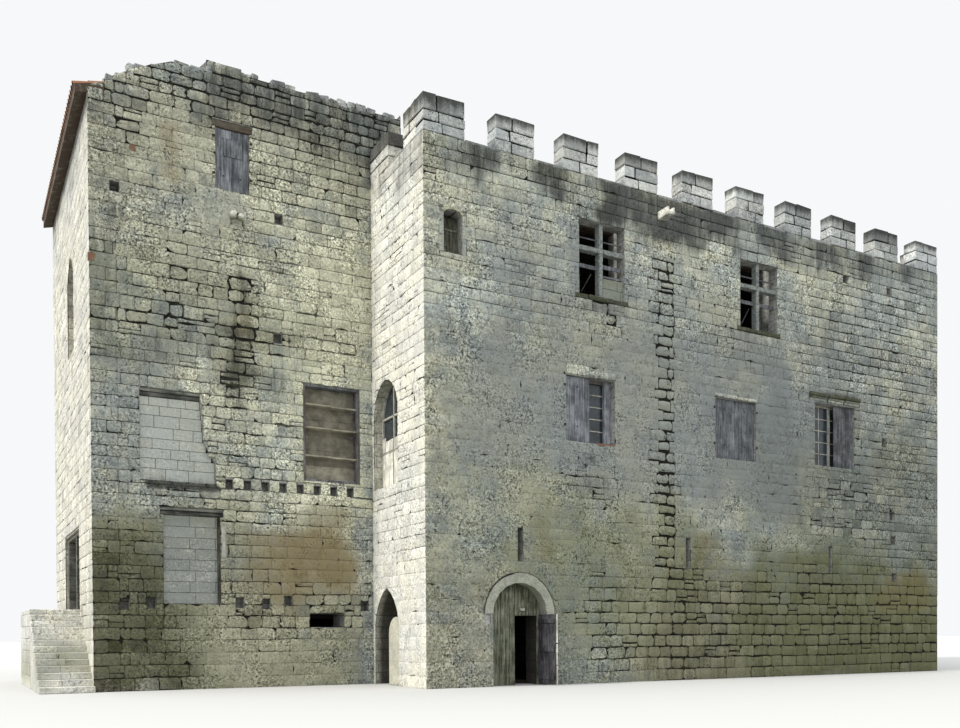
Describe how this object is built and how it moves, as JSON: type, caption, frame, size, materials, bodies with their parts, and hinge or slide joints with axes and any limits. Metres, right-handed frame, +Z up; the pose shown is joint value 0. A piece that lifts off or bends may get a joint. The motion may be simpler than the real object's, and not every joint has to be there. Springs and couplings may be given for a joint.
{
  "type": "castle keep",
  "caption": "Fortified stone house: long block with battlements and cross windows, a taller gabled wing set back at one end, an arched doorway and a plank door that swings",
  "frame": {"origin": "middle of the bounding box in plan, on the level of the doorway's threshold", "axes": "+X to the right along the main front, +Y into the building, +Z up"},
  "size_m": [28.48, 13.0788, 16.2],
  "materials": {
    "wall_stone": "weathered soft limestone, rough",
    "sunlit_stone": "pale soft limestone, rough",
    "arch_stone": "dressed soft limestone, matte",
    "merlon_stone": "dressed soft limestone with dark growth, rough",
    "roof_tile": "weathered clay tile, rough",
    "floor_boards": "worn boards, matte",
    "painted_wood": "old pale paint, matte",
    "window_glass": "old window glass",
    "grey_wood": "silvered oak, rough",
    "dark_wood": "dark weathered boards, rough",
    "lime_plaster": "pale lime plaster, matte",
    "concrete_block": "pale concrete blockwork, matte",
    "hinge_iron": "old wrought iron, matte"
  },
  "bodies": {
    "keep": {"front_wall_left": "wall_stone", "front_wall_over_doorway": "wall_stone", "front_wall_right": "wall_stone", "doorway_arch": "arch_stone", "left_wall": "sunlit_stone", "right_wall": "wall_stone", "back_wall": "wall_stone", "front_parapet": "wall_stone", "left_parapet": "sunlit_stone", "right_parapet": "wall_stone", "back_parapet": "wall_stone", "front_merlons": "merlon_stone", "left_merlons": "merlon_stone", "right_merlons": "merlon_stone", "back_merlons": "merlon_stone", "main_roof_front": "roof_tile", "main_roof_back": "roof_tile", "main_roof_hips": "roof_tile", "main_floors": "floor_boards", "wing_front_wall": "wall_stone", "wing_left_wall": "sunlit_stone", "wing_back_wall": "wall_stone", "wing_right_wall": "wall_stone", "wing_roof_left": "roof_tile", "wing_roof_right": "roof_tile", "wing_floors": "floor_boards", "cross_window_bars": "arch_stone", "window_sills": "arch_stone", "drip_mould": "arch_stone", "window_casements": "painted_wood", "window_glass": "window_glass", "window_shutters": "grey_wood", "pointed_window_bars": "grey_wood", "pointed_window_glass": "window_glass", "pointed_doorway_pier": "lime_plaster", "blocked_windows": "concrete_block", "wing_lintels": "grey_wood", "shelf_niche": "grey_wood", "spout_and_corbel": "arch_stone", "side_doorway_frame": "dark_wood", "outside_steps": "sunlit_stone", "door_boarding": "dark_wood", "door_pins": "hinge_iron"},
    "door": {"door_leaf": "dark_wood", "door_straps": "hinge_iron"}
  },
  "joints": [
    {"name": "door_hinge", "type": "hinge", "parent": "keep", "child": "door", "pos_m": [-2.23, -5.7646, 1], "axis": [0, 0, 1], "range_deg": [-100, 0]}
  ]
}
